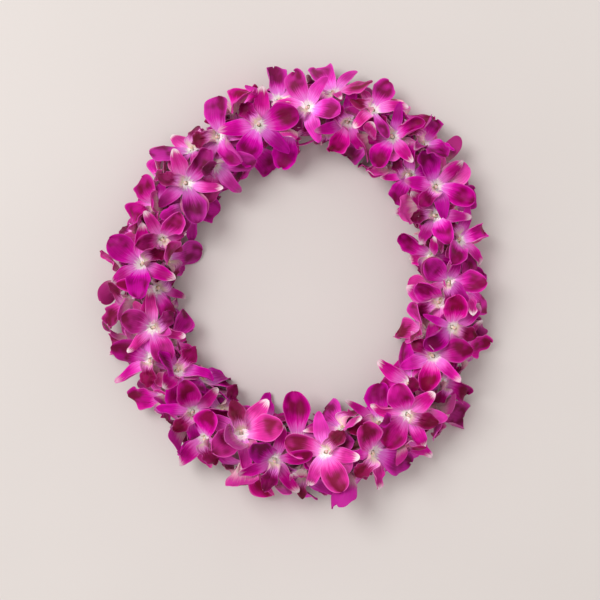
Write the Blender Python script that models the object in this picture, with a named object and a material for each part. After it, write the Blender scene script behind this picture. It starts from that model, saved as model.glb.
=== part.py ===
"""Orchid lei: dendrobium blooms threaded on a knotted cotton string and laid in an oval on a table.

Metres, +Z up. The origin is the middle of the lei's outline, on the surface that it lies on.
Neighbouring blooms share one closed body, two by two: a base bored for the string, with two
throats drawn out of it, and six blades drawn out of each throat's sides (three sepals, two petals
and a lip). Every blade keeps its natural bend where it can. Where it would go through the table it
lies flat on it, and where it would cross a neighbour it bends clear.
"""

import math
from dataclasses import dataclass, field
from itertools import product

import bmesh
import bpy
import numpy as np
from mathutils import Vector
from mathutils.bvhtree import BVHTree

MM = 0.001
SEED = 12
UP = Vector((0, 0, 1))

# The string's loop, as seen from above: a mean radius and its waves, a cosine and a sine part each.
# The ring of blooms swells and narrows round the loop in the same way.
PAIR_COUNT = 44
LOOP_RADIUS = 145.7 * MM
LOOP_WAVES = {2: (-9.4 * MM, 2.8 * MM), 3: (-3.9 * MM, -1.3 * MM), 4: (0.1 * MM, -0.7 * MM)}
LOOP_CENTRE = Vector((6.45 * MM, -2.35 * MM, 21 * MM))
SWELL_WAVES = {1: (-0.015, -0.048), 2: (-0.056, -0.024)}
LOOP_STEPS = 1440  # how finely the loop's length is measured

# The cotton string, its knot and the knot's two tails.
STRING_RADIUS = 0.6 * MM
BORE_CLEARANCE = 0.35 * MM
KNOT_RADIUS = 1.7 * MM
KNOT_SHOULDER_RADIUS = 1.5 * MM
KNOT_LENGTH = 4.4 * MM
TAIL_WIDTH = 1.1 * MM
TAIL_STEPS = (2.4 * MM, 4.8 * MM, 4.8 * MM)
TAIL_SPREAD = 0.5  # how much each tail points along the string, against inwards and down
TAIL_DROP = 0.6
TAIL_SAG = 0.35  # how much more it turns down at each step

# How the blooms sit on the string. Roll is the turn about the string, with 0 straight up.
GOLDEN_TURN = math.radians(137.508)
ROLL_LIMIT = math.radians(110)
ROLL_JITTER = math.radians(8)
LEAN_RANGE = (math.radians(3), math.radians(20))  # away from the other bloom on the same base
SIZE_RANGE = (0.93, 1.07)
THROAT_HEIGHTS = (17 * MM, 22 * MM)
UNDER_THROAT_HEIGHT = 12 * MM
THROAT_GAP = 2 * MM
MOST_TRIES = 30

# The flower's body, which has six sides.
SIDES = 6
BASE_RADIUS = 3.9 * MM
BASE_LENGTH = 14 * MM
THROAT_RADIUS = 4.1 * MM
THROAT_DEPTH = 3.2 * MM
COLUMN_RADIUS = 1.5 * MM
COLUMN_TAPER = 0.8
COLUMN_RISE = 2.6 * MM
BLADE_THICKNESS = 0.8 * MM

# What a blade may do to stay clear of its neighbours, the least change first: the share of its
# full size, a change of its rise in degrees and a swing round the throat in degrees.
SHARES = (1.0, 0.88, 0.76, 0.64, 0.52, 0.4)
LIFTS = (0, 8, -8, 16, -16, 25, -25, 35, -35, 46, -46, 58, 70, -58, -70, 82)
SWINGS = (0, 8, -8, 16, -16, 24, -24)
UNBEND_SHARE = 0.35  # how much of a lift the blade's tip doesn't follow
GAP = 0.4 * MM
ROOT_GAP = 0.05 * MM
ROOT_SHARE = 0.02  # the stretch next to the throat that isn't tried, where blades share an edge
ROUNDING = 1.0001  # vectors hold 32-bit numbers

# How the table holds up a blade that reaches it.
PRESS_LIMIT = 8 * MM
PRESS_SOFTNESS = 1.2 * MM
LEAST_STEP = 2 * MM

PETAL_COLOURS = ((0.42, 0.03, 0.19), (0.50, 0.05, 0.26), (0.36, 0.02, 0.15))
PETAL_ROUGHNESS = 0.5
COTTON_COLOUR = (0.80, 0.77, 0.68)
COTTON_ROUGHNESS = 0.8
CREASE_ANGLE = math.radians(40)


@dataclass
class BladeKind:
    """A blade's side of the throat, its outline and its natural bend, with angles in degrees.

    The outline gives the share of the length and the share of the width at each station.
    """

    name: str
    side: int
    aim: float
    length: float
    width: float
    rise: float
    droop: float
    outline: tuple


PETAL_OUTLINE = ((0.36, 0.60), (0.68, 1.0), (1.0, 0.50))
SEPAL_OUTLINE = ((0.52, 1.0), (1.0, 0.12))
LIP_OUTLINE = ((0.42, 0.56), (0.74, 1.0), (1.0, 0.5))

BLADE_KINDS = (
    BladeKind("lip", 3, 0, 23.5 * MM, 19 * MM, 55, -30, LIP_OUTLINE),
    BladeKind("petal_right", 5, -6, 31.5 * MM, 26 * MM, 34, 0, PETAL_OUTLINE),
    BladeKind("petal_left", 1, 6, 31.5 * MM, 26 * MM, 34, 0, PETAL_OUTLINE),
    BladeKind("sepal_top", 0, 0, 30 * MM, 15 * MM, 24, -10, SEPAL_OUTLINE),
    BladeKind("sepal_right", 4, -6, 30 * MM, 16 * MM, 24, -10, SEPAL_OUTLINE),
    BladeKind("sepal_left", 2, 6, 30 * MM, 16 * MM, 24, -10, SEPAL_OUTLINE),
)
LIFT_SPREAD = 14
CURL_SPREAD = 20
TWIST_SPREAD = 22
SWING_SPREAD = 4
LENGTH_RANGE = (0.93, 1.06)


@dataclass
class Bloom:
    """One flower: its seat on the string, the way it faces, its own draws and its posed blades."""

    seat: Vector
    along: Vector
    out: Vector
    face: Vector
    up: Vector
    height: float
    size: float
    draws: dict
    poses: dict = field(default_factory=dict)

    def around(self, angle):
        """The direction square to the face, at an angle anticlockwise from the flower's top."""
        return math.cos(angle) * self.up + math.sin(angle) * self.face.cross(self.up)

    def centre(self, height):
        """The point on the flower's axis at a height over the string."""
        return self.seat + self.face * height

    def ring(self, height, radius):
        """A six-sided ring round the flower's axis."""
        return hexagon(self.centre(height), self.up, self.face.cross(self.up), radius)


def hexagon(centre, first, second, radius):
    """Six corners round a centre, from half a side before the first direction on to the second."""
    turns = [math.tau / SIDES * (index - 0.5) for index in range(SIDES)]
    return [centre + radius * (math.cos(turn) * first + math.sin(turn) * second) for turn in turns]


def waved(mean, waves, angle):
    """A mean with its waves added, at an angle round the loop."""
    for wave, (cosine, sine) in waves.items():
        mean += cosine * math.cos(wave * angle) + sine * math.sin(wave * angle)
    return mean


def loop_point(angle):
    """The string's line at an angle round the loop."""
    radius = waved(LOOP_RADIUS, LOOP_WAVES, angle)
    return LOOP_CENTRE + radius * Vector((math.cos(angle), math.sin(angle), 0))


def string_corners():
    """The string's bends, one between each pair of blooms and the next, evenly spaced along it."""
    angles = np.linspace(0, math.tau, LOOP_STEPS + 1)
    points = [loop_point(angle) for angle in angles]
    lengths = np.cumsum([0.0] + [(b - a).length for a, b in zip(points, points[1:])])
    wanted = np.linspace(0, lengths[-1], PAIR_COUNT, endpoint=False)
    return [loop_point(angle) for angle in np.interp(wanted, lengths, angles)]


def string_sections(corners):
    """The string's rings once round the loop, thick at the knot on its first bend."""
    tangents = [
        (after - before).normalized()
        for before, after in zip(corners[-1:] + corners[:-1], corners[1:] + corners[:1])
    ]
    thin, thick, middle = (
        (KNOT_LENGTH / 2, STRING_RADIUS), (KNOT_LENGTH / 3, KNOT_SHOULDER_RADIUS), (0.0, KNOT_RADIUS)
    )
    knot, along = corners[0], tangents[0]
    places = [(knot + along * offset, along, radius) for offset, radius in (middle, thick, thin)]
    places += [(corner, way, STRING_RADIUS) for corner, way in zip(corners[1:], tangents[1:])]
    places += [(knot - along * offset, along, radius) for offset, radius in (thin, thick)]
    return [hexagon(place, UP, way.cross(UP), radius) for place, way, radius in places]


def tail_sections(corners, way):
    """One tail of the knot, which hangs inwards and down between the blooms."""
    along = (corners[1] - corners[-1]).normalized()
    inward = UP.cross(along)
    heading = (way * TAIL_SPREAD * along + TAIL_DROP * (inward - UP)).normalized()
    sections = []
    centre = corners[0] + heading * KNOT_RADIUS
    for step in TAIL_STEPS:
        centre = centre + heading * step
        side = heading.cross(along).normalized() * TAIL_WIDTH / 2
        other = heading.cross(side)
        sections.append([centre + side + other, centre - side + other])
        sections[-1] += [centre - side - other, centre + side - other]
        heading = (heading - TAIL_SAG * UP).normalized()
    return sections


def seat_bloom(number, attempt, seat, along, way):
    """A bloom at its seat on the string, turned on from the last by the golden angle."""
    draw = np.random.default_rng([SEED, number, attempt])
    turned = number * GOLDEN_TURN + draw.uniform(-ROLL_JITTER, ROLL_JITTER)
    roll = ((turned + math.pi) % math.tau - math.pi) * ROLL_LIMIT / math.pi
    out = math.cos(roll) * UP + math.sin(roll) * along.cross(UP)
    lean = way * draw.uniform(*LEAN_RANGE)
    face = math.cos(lean) * out + math.sin(lean) * along
    spin = draw.uniform(0, math.tau)
    side = along.cross(out)
    up = math.cos(spin) * side + math.sin(spin) * face.cross(side)
    place = seat - LOOP_CENTRE
    swell = waved(1.0, SWELL_WAVES, math.atan2(place.y, place.x))
    height = draw.uniform(*THROAT_HEIGHTS) * swell
    height += (UNDER_THROAT_HEIGHT - height) * max(-out.z, 0)
    size = draw.uniform(*SIZE_RANGE) * swell
    draws = {
        kind.name: {
            "lift": draw.uniform(-LIFT_SPREAD, LIFT_SPREAD),
            "curl": draw.uniform(-CURL_SPREAD, CURL_SPREAD),
            "twist": draw.uniform(-TWIST_SPREAD, TWIST_SPREAD),
            "swing": draw.uniform(-SWING_SPREAD, SWING_SPREAD),
            "length": draw.uniform(*LENGTH_RANGE),
        }
        for kind in BLADE_KINDS
    }
    return Bloom(seat, along, out, face, up, height, size, draws)


def seat_blooms(corners):
    """All the blooms in order, two to a straight stretch of string, with their throats apart."""
    blooms = []
    skins = []
    for start, end in zip(corners, corners[1:] + corners[:1]):
        along = (end - start).normalized()
        for way in (-1, 1):
            seat = (start + end) / 2 + way * along * BASE_LENGTH / 4
            taken = search_tree(skins) if skins else None
            for attempt in range(MOST_TRIES):
                bloom = seat_bloom(len(blooms), attempt, seat, along, way)
                if not taken or not search_tree([neck_skin(bloom, THROAT_GAP)]).overlap(taken):
                    break
            blooms.append(bloom)
            skins.append(neck_skin(bloom))
    return blooms


def held_up(point):
    """The point of a blade's middle surface, held up by the table where it would go through it."""
    least = BLADE_THICKNESS / 2
    rise = (point.z - least) / PRESS_SOFTNESS
    if rise >= 1:
        return point
    held = 0.0 if rise <= -1 else PRESS_SOFTNESS * (rise + 1) ** 2 / 4
    return Vector((point.x, point.y, least + held))


def blade_line(bloom, kind, pose, u):
    """Middle point and cross direction of a blade, before the table holds it up, at a share u."""
    share, lift, swing = pose
    draw = bloom.draws[kind.name]
    start = math.radians(kind.rise + draw["lift"] + lift)
    bend = math.radians(kind.droop - kind.rise + draw["curl"] - lift * UNBEND_SHARE)
    length = kind.length * bloom.size * draw["length"] * share
    now = start + bend * u
    reach = length * (math.sin(now) - math.sin(start)) / bend
    climb = length * (math.cos(start) - math.cos(now)) / bend
    turn = math.tau / SIDES * kind.side + math.radians(kind.aim + draw["swing"] + swing)
    outwards = bloom.around(turn)
    heading = math.cos(now) * outwards + math.sin(now) * bloom.face
    flat = bloom.face.cross(outwards)
    twist = math.radians(draw["twist"]) * u
    across = math.cos(twist) * flat + math.sin(twist) * heading.cross(flat)
    root = THROAT_RADIUS * math.cos(math.pi / SIDES)
    return bloom.centre(bloom.height + climb) + outwards * (root + reach), across


def blade_sections(bloom, kind, pose, grow=0.0):
    """The blade's sections from throat to tip, four corners each, or None if it can't lie so.

    The corners are the clockwise and the anticlockwise one underneath, then the anticlockwise and
    the clockwise one on top, as seen from the flower's front.
    """
    middles = [blade_line(bloom, kind, pose, 0.0)[0]]
    pairs = []
    for length_share, width_share in kind.outline:
        middle, across = blade_line(bloom, kind, pose, length_share)
        half = across * (kind.width * bloom.size * pose[0] / 2 * width_share + grow)
        if min(middle.z - half.z, middle.z + half.z) < -PRESS_LIMIT:
            return None
        pairs.append((held_up(middle - half), held_up(middle + half)))
        middles.append((pairs[-1][0] + pairs[-1][1]) / 2)
    sections = []
    for index, (clockwise, anticlockwise) in enumerate(pairs):
        if (middles[index + 1] - middles[index]).length < LEAST_STEP:
            return None
        heading = middles[min(index + 2, len(pairs))] - middles[index]
        normal = heading.cross(anticlockwise - clockwise).normalized()
        if max(clockwise.z, anticlockwise.z) < BLADE_THICKNESS / 2 * ROUNDING:
            normal = math.copysign(1, normal.z) * UP
        normal *= BLADE_THICKNESS / 2 + grow
        corners = (
            clockwise - normal, anticlockwise - normal, anticlockwise + normal, clockwise + normal
        )
        sections.append([Vector((corner.x, corner.y, max(corner.z, 0))) for corner in corners])
    return sections


def root_section(bloom, kind):
    """The side of the throat that a blade is drawn out of, with its corners in a blade's order."""
    low = bloom.ring(bloom.height - BLADE_THICKNESS, THROAT_RADIUS)
    high = bloom.ring(bloom.height, THROAT_RADIUS)
    after = (kind.side + 1) % SIDES
    return [low[kind.side], low[after], high[after], high[kind.side]]


def throat_sections(bloom):
    """The throat's rings: the band that the blades leave, the cup's floor and the column's top."""
    return [
        bloom.ring(bloom.height - BLADE_THICKNESS, THROAT_RADIUS),
        bloom.ring(bloom.height, THROAT_RADIUS),
        bloom.ring(bloom.height - THROAT_DEPTH, COLUMN_RADIUS),
        bloom.ring(bloom.height + COLUMN_RISE, COLUMN_RADIUS * COLUMN_TAPER),
    ]


def prism_skin(sections):
    """Corners and faces of the closed shape that runs through sections with as many sides each."""
    sides = len(sections[0])
    corners = [corner for section in sections for corner in section]
    faces = [tuple(reversed(range(sides))), tuple(range(len(corners) - sides, len(corners)))]
    for low, side in product(range(0, len(corners) - sides, sides), range(sides)):
        after = (side + 1) % sides
        faces.append((low + side, low + after, low + sides + after, low + sides + side))
    return corners, faces


def blade_skin(sections):
    """The same for a blade, with its broad faces split along one diagonal above and below."""
    corners = [corner for section in sections for corner in section]
    faces = [(3, 2, 1, 0), tuple(range(len(corners) - 4, len(corners)))]
    for low in range(0, len(corners) - 4, 4):
        faces += [
            (low, low + 1, low + 5),
            (low, low + 5, low + 4),
            (low + 1, low + 2, low + 6, low + 5),
            (low + 2, low + 3, low + 6),
            (low + 3, low + 7, low + 6),
            (low + 3, low, low + 4, low + 7),
        ]
    return corners, faces


def search_tree(skins):
    """A tree over several skins, for finding what a blade would cross."""
    corners = []
    faces = []
    for some_corners, some_faces in skins:
        shift = len(corners)
        corners += some_corners
        faces += [tuple(index + shift for index in face) for face in some_faces]
    return BVHTree.FromPolygons(corners, faces)


def neck_skin(bloom, grow=0.0):
    """The skin of a bloom's neck and throat, wide enough at the base to hold it however it turns."""
    levels = (
        (BASE_RADIUS / 2, BASE_LENGTH / 4 / math.cos(math.pi / 4) + grow),
        (bloom.height - BLADE_THICKNESS, THROAT_RADIUS + grow),
        (bloom.height + grow, THROAT_RADIUS + grow),
    )
    return prism_skin([bloom.ring(height, radius) for height, radius in levels])


def body_skins(bloom):
    """The skins of a bloom's half of the base, its neck and its column."""
    radius = BASE_RADIUS / math.cos(math.pi / SIDES)
    base = [
        hexagon(bloom.seat + end * bloom.along, bloom.out, bloom.along.cross(bloom.out), radius)
        for end in (-BASE_LENGTH / 4, BASE_LENGTH / 4)
    ]
    return [prism_skin(base), neck_skin(bloom), prism_skin(throat_sections(bloom)[2:])]


def off_throat(root, sections):
    """The blade's sections, with one in front a little way out from the throat."""
    return [[low.lerp(high, ROOT_SHARE) for low, high in zip(root, sections[0])]] + sections


def pose_blade(bloom, kind, own, others):
    """Gives a blade the pose nearest its natural one that is clear; returns its skin, or None."""
    root = root_section(bloom, kind)
    for pose in product(SHARES, LIFTS, SWINGS):
        wide = blade_sections(bloom, kind, pose, GAP)
        if wide is None or search_tree([blade_skin(wide)]).overlap(own):
            continue
        if search_tree([blade_skin(off_throat(root, wide))]).overlap(others):
            continue
        near = blade_sections(bloom, kind, pose, ROOT_GAP)
        if not search_tree([blade_skin(off_throat(root, near))]).overlap(own):
            bloom.poses[kind.name] = pose
            return blade_skin([root] + blade_sections(bloom, kind, pose))
    return None


def pose_blooms(blooms, string_skins):
    """Poses every blade, the uppermost blooms first, so that the rest take the room left."""
    bodies = [body_skins(bloom) for bloom in blooms]
    blades = [[] for _ in blooms]
    for index in sorted(range(len(blooms)), key=lambda index: -blooms[index].out.z):
        others = string_skins + [
            skin
            for other in range(len(blooms))
            if other != index
            for skin in bodies[other] + blades[other]
        ]
        others = search_tree(others)
        for kind in BLADE_KINDS:
            own = search_tree(bodies[index] + blades[index])
            skin = pose_blade(blooms[index], kind, own, others)
            if skin:
                blades[index].append(skin)


def draw_out(bm, face, sections):
    """Extrudes a face through sections whose corners come in the face's order."""
    rings = []
    for section in sections:
        face = bmesh.ops.extrude_discrete_faces(bm, faces=[face])["faces"][0]
        for corner, place in zip(face.verts, section):
            corner.co = place
        rings.append(list(face.verts))
    return rings


def matched(face, section):
    """How far to turn a section's corners on, so that they come nearest the face's own."""
    def distance(shift):
        turned = section[shift:] + section[:shift]
        return sum((corner.co - place).length_squared for corner, place in zip(face.verts, turned))

    return min(range(len(section)), key=distance)


def spin_base(bm, pair):
    """A six-sided ring round the string, turned so that its sides suit both blooms."""
    along = pair[0].along
    middle = (pair[0].seat + pair[1].seat) / 2
    apart = math.atan2(pair[0].out.cross(pair[1].out).dot(along), pair[0].out.dot(pair[1].out))
    side = math.tau / SIDES
    turn = ((apart + side / 2) % side - side / 2) / 2
    edge = math.cos(turn) * pair[0].out + math.sin(turn) * along.cross(pair[0].out)
    bore = (STRING_RADIUS + BORE_CLEARANCE) / math.cos(side / 2)
    half = BASE_LENGTH / 2
    profile = [(-half, bore), (half, bore)] + [(end, BASE_RADIUS) for end in (half, 0, -half)]
    corners = [bm.verts.new(middle + end * along + radius * edge) for end, radius in profile]
    edges = [bm.edges.new((corners[index - 1], corners[index])) for index in range(len(corners))]
    bmesh.ops.spin(
        bm,
        geom=corners + edges,
        cent=middle,
        axis=along,
        dvec=(0, 0, 0),
        angle=math.tau,
        steps=SIDES,
        use_merge=True,
    )
    bmesh.ops.recalc_face_normals(bm, faces=bm.faces)


def open_side(bm, bloom):
    """The two outer faces of the base that lie nearest a bloom, made one face."""
    beside = [
        face
        for face in bm.faces
        if abs((face.calc_center_median() - bloom.seat).dot(bloom.along)) < BASE_LENGTH / 8
    ]
    nearest = sorted(beside, key=lambda face: face.normal.dot(bloom.out))[-2:]
    return bmesh.utils.face_join(nearest)


def draw_blade(bm, root, sections):
    """Draws a blade out of the four corners of its root, and splits its broad faces alike."""
    face = bm.faces.get(root)
    order = [root.index(corner) for corner in face.verts]
    rings = draw_out(bm, face, [[section[index] for index in order] for section in sections])
    rings = [root] + [[ring[order.index(index)] for index in range(4)] for ring in rings]
    for near, far in zip(rings, rings[1:]):
        for clockwise, anticlockwise in ((0, 1), (3, 2)):
            corners = near[clockwise], near[anticlockwise], far[anticlockwise], far[clockwise]
            bmesh.utils.face_split(bm.faces.get(corners), near[clockwise], far[anticlockwise])


def draw_flower(bm, face, bloom):
    """Draws the throat out of a face of the base, and the blades out of the throat's sides."""
    sections = throat_sections(bloom)
    shift = matched(face, sections[0])
    low, high = draw_out(bm, face, [section[shift:] + section[:shift] for section in sections])[:2]
    for kind in BLADE_KINDS:
        if kind.name in bloom.poses:
            first = (kind.side - shift) % SIDES
            second = (first + 1) % SIDES
            root = [low[first], low[second], high[second], high[first]]
            draw_blade(bm, root, blade_sections(bloom, kind, bloom.poses[kind.name]))


def pair_mesh(pair):
    """Two blooms on their base."""
    bm = bmesh.new()
    spin_base(bm, pair)
    faces = [open_side(bm, bloom) for bloom in pair]
    for face, bloom in zip(faces, pair):
        draw_flower(bm, face, bloom)
    return bm


def string_mesh(corners):
    """The string's closed loop with its knot, and the two tails drawn out of the knot."""
    bm = bmesh.new()
    sections = string_sections(corners)
    bmesh.ops.create_circle(bm, cap_ends=True, segments=SIDES, radius=STRING_RADIUS)
    start = bm.faces[:][0]
    first = list(start.verts)
    for corner, place in zip(first, sections[0]):
        corner.co = place
    last = draw_out(bm, start, sections[1:])[-1]
    bmesh.ops.delete(bm, geom=[bm.faces.get(last)], context="FACES_ONLY")
    ends = [
        bm.edges.get((ring[index - 1], ring[index])) for ring in (first, last) for index in range(SIDES)
    ]
    bmesh.ops.bridge_loops(bm, edges=ends)
    bmesh.ops.recalc_face_normals(bm, faces=bm.faces)
    for way in (-1, 1):
        tail = tail_sections(corners, way)
        root = (tail[0][0] + tail[0][2]) / 2
        face = min(bm.faces, key=lambda face: (face.calc_center_median() - root).length)
        shift = matched(face, tail[0])
        draw_out(bm, face, [section[shift:] + section[:shift] for section in tail])
    return bm


def clear_scene():
    """Removes every object of the open scene."""
    for thing in list(bpy.data.objects):
        bpy.data.objects.remove(thing, do_unlink=True)


def material(name, colour, roughness):
    """A plain finish."""
    made = bpy.data.materials.new(name)
    made.use_nodes = True
    shader = made.node_tree.nodes["Principled BSDF"]
    shader.inputs["Base Color"].default_value = (*colour, 1)
    shader.inputs["Roughness"].default_value = roughness
    return made


def add_object(name, bm, finish):
    """Puts a finished shape in the scene, shaded smooth but for its creases."""
    bmesh.ops.recalc_face_normals(bm, faces=bm.faces)
    mesh = bpy.data.meshes.new(name)
    bm.to_mesh(mesh)
    bm.free()
    mesh.materials.append(finish)
    mesh.shade_smooth()
    mesh.set_sharp_from_angle(angle=CREASE_ANGLE)
    bpy.context.scene.collection.objects.link(bpy.data.objects.new(name, mesh))


def main():
    """Seats and poses the blooms, and makes an object of each pair and of the string."""
    clear_scene()
    corners = string_corners()
    blooms = seat_blooms(corners)
    rings = string_sections(corners)
    tails = [prism_skin(tail_sections(corners, way)) for way in (-1, 1)]
    pose_blooms(blooms, [prism_skin(rings + rings[:1])] + tails)
    petals = [
        material(f"petal_{index + 1}", colour, PETAL_ROUGHNESS)
        for index, colour in enumerate(PETAL_COLOURS)
    ]
    for number, pair in enumerate(zip(blooms[::2], blooms[1::2])):
        add_object(f"blooms_{number + 1:02d}", pair_mesh(pair), petals[number % len(petals)])
    cotton = material("cotton", COTTON_COLOUR, COTTON_ROUGHNESS)
    add_object("string", string_mesh(corners), cotton)


main()
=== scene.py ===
# %% [markdown]
# # An orchid lei, from plain solids to fresh flowers
#
# A lei is a garland of open flowers on a string, worn round the neck. This one is made of magenta
# dendrobium orchids, laid in an oval on a pale surface and seen from straight above.
#
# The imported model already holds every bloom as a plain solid: a base on the string, a neck, a throat
# and six thick, angular blades. This lesson puts a real flower in the place of each plain one. The
# solids say where everything is, and we only make the surface finer and give it its finish.

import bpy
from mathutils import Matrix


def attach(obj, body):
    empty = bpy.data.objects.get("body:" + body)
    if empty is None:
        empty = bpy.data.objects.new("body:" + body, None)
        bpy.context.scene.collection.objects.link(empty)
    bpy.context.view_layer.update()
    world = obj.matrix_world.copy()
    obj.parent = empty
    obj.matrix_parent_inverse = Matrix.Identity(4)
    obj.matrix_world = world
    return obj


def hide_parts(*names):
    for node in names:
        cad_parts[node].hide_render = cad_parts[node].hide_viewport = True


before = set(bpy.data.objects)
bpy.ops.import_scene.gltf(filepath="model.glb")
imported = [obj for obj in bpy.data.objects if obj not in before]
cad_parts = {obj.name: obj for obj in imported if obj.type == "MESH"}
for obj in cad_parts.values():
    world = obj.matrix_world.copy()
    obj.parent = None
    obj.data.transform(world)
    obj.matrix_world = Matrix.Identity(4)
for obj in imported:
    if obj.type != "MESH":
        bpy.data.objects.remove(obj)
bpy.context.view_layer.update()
print("solids:", len(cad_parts))

# %% [markdown]
# ## The camera, the light and the floor
#
# The photograph looks straight down. A long lens keeps the near petals from looking much larger than
# the far ones. The light is a large soft window at the upper left, so shadows are soft and fall to the
# lower right. Petals are strongly coloured, and the Standard view keeps such colours as they are.

# %% Camera, light and floor
import math
from dataclasses import dataclass, field, replace
from itertools import product

import bmesh
import bpy
import numpy as np
from mathutils import Vector
from mathutils.bvhtree import BVHTree
from mathutils.kdtree import KDTree
from mathutils.noise import noise as noise_at

MM = 0.001
UP = Vector((0, 0, 1))
FRAME_WIDTH = 540 * MM
FRAME_CENTRE = Vector((5.4 * MM, -16.7 * MM, 25 * MM))
LENS = 85.0
SENSOR = 36.0
WINDOW_PLACE = (-1.75, 1.2, 3.4)
WINDOW_SIZE = 1.9
WINDOW_POWER = 86
WINDOW_COLOUR = (1.0, 0.995, 0.98)
ROOM_COLOUR = (1.0, 0.945, 0.92, 1)
ROOM_STRENGTH = 0.66


def look_down():
    """A camera straight above the middle of the frame, which takes in the frame's width."""
    data = bpy.data.cameras.new("camera")
    data.lens = LENS
    data.sensor_width = SENSOR
    data.clip_start = 0.01
    camera = bpy.data.objects.new("camera", data)
    camera.location = FRAME_CENTRE + UP * FRAME_WIDTH * LENS / SENSOR
    bpy.context.scene.collection.objects.link(camera)
    bpy.context.scene.camera = camera
    return camera


def area_light(name, place, size, power, colour):
    """A square soft light at a place, turned to the lei."""
    data = bpy.data.lights.new(name, "AREA")
    data.size = size
    data.energy = power
    data.color = colour
    light = bpy.data.objects.new(name, data)
    light.location = place
    light.rotation_euler = (-Vector(place)).to_track_quat("-Z", "Y").to_euler()
    bpy.context.scene.collection.objects.link(light)


camera = look_down()
area_light("window", WINDOW_PLACE, WINDOW_SIZE, WINDOW_POWER, WINDOW_COLOUR)
world = bpy.data.worlds.new("room")
world.use_nodes = True
world.node_tree.nodes["Background"].inputs["Color"].default_value = ROOM_COLOUR
world.node_tree.nodes["Background"].inputs["Strength"].default_value = ROOM_STRENGTH
bpy.context.scene.world = world
bpy.context.scene.view_settings.view_transform = "Standard"
print("camera", round(camera.location.z, 3), "m up")

# %% [markdown]
# ## Where each bloom sits
#
# The blooms follow a rule, and the plain solids were made with the same one. The string runs in a
# wavy oval. Two blooms share each straight stretch of it, and each bloom is turned on from the last by
# the golden angle, so that they face out all round the string but not into the table.

# %% The string's loop
SEED = 12
PAIR_COUNT = 44
LOOP_RADIUS = 145.7 * MM
LOOP_WAVES = {2: (-9.4 * MM, 2.8 * MM), 3: (-3.9 * MM, -1.3 * MM), 4: (0.1 * MM, -0.7 * MM)}
LOOP_CENTRE = Vector((6.45 * MM, -2.35 * MM, 21 * MM))
SWELL_WAVES = {1: (-0.015, -0.048), 2: (-0.056, -0.024)}
LOOP_STEPS = 1440


def waved(mean, waves, angle):
    """A mean with its waves added, at an angle round the loop."""
    for wave, (cosine, sine) in waves.items():
        mean += cosine * math.cos(wave * angle) + sine * math.sin(wave * angle)
    return mean


def loop_point(angle):
    """The string's line at an angle round the loop."""
    radius = waved(LOOP_RADIUS, LOOP_WAVES, angle)
    return LOOP_CENTRE + radius * Vector((math.cos(angle), math.sin(angle), 0))


def string_corners():
    """The string's bends, one between each pair of blooms and the next, evenly spaced along it."""
    angles = np.linspace(0, math.tau, LOOP_STEPS + 1)
    points = [loop_point(angle) for angle in angles]
    lengths = np.cumsum([0.0] + [(b - a).length for a, b in zip(points, points[1:])])
    wanted = np.linspace(0, lengths[-1], PAIR_COUNT, endpoint=False)
    return [loop_point(angle) for angle in np.interp(wanted, lengths, angles)]


corners = string_corners()
STRING_LENGTH = sum((b - a).length for a, b in zip(corners, corners[1:] + corners[:1]))
print("string:", round(STRING_LENGTH, 3), "m")

# %% One bloom's seat, size and draws
GOLDEN_TURN = math.radians(137.508)
ROLL_LIMIT = math.radians(110)
ROLL_JITTER = math.radians(8)
LEAN_RANGE = (math.radians(3), math.radians(20))
SIZE_RANGE = (0.93, 1.07)
THROAT_HEIGHTS = (17 * MM, 22 * MM)
UNDER_THROAT_HEIGHT = 12 * MM
MOST_TRIES = 30
SIDES = 6
BASE_LENGTH = 14 * MM
BASE_RADIUS = 3.9 * MM
THROAT_RADIUS = 4.1 * MM
COLUMN_RADIUS = 1.5 * MM
COLUMN_TAPER = 0.8
COLUMN_RISE = 2.6 * MM
BLADE_THICKNESS = 0.8 * MM


@dataclass
class BladeKind:
    """A blade's side of the throat, its size and its natural bend, with angles in degrees."""

    name: str
    side: int
    aim: float
    length: float
    width: float
    rise: float
    droop: float
    outline: tuple


PETAL_OUTLINE = ((0.36, 0.60), (0.68, 1.0), (1.0, 0.50))
SEPAL_OUTLINE = ((0.52, 1.0), (1.0, 0.12))
LIP_OUTLINE = ((0.42, 0.56), (0.74, 1.0), (1.0, 0.5))
BLADE_KINDS = (
    BladeKind("lip", 3, 0, 23.5 * MM, 19 * MM, 55, -30, LIP_OUTLINE),
    BladeKind("petal_right", 5, -6, 31.5 * MM, 26 * MM, 34, 0, PETAL_OUTLINE),
    BladeKind("petal_left", 1, 6, 31.5 * MM, 26 * MM, 34, 0, PETAL_OUTLINE),
    BladeKind("sepal_top", 0, 0, 30 * MM, 15 * MM, 24, -10, SEPAL_OUTLINE),
    BladeKind("sepal_right", 4, -6, 30 * MM, 16 * MM, 24, -10, SEPAL_OUTLINE),
    BladeKind("sepal_left", 2, 6, 30 * MM, 16 * MM, 24, -10, SEPAL_OUTLINE),
)
LIFT_SPREAD = 14
CURL_SPREAD = 20
TWIST_SPREAD = 22
SWING_SPREAD = 4
LENGTH_RANGE = (0.93, 1.06)


@dataclass
class Bloom:
    """One flower: its seat on the string, the way it faces, its own draws and its blades' poses."""

    number: int
    seat: Vector
    along: Vector
    face: Vector
    up: Vector
    height: float
    size: float
    draws: dict
    poses: dict = field(default_factory=dict)

    def around(self, angle):
        """The direction square to the face, at an angle anticlockwise from the flower's top."""
        return math.cos(angle) * self.up + math.sin(angle) * self.face.cross(self.up)

    def centre(self, height):
        """The point on the flower's axis at a height over the string."""
        return self.seat + self.face * height


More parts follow.
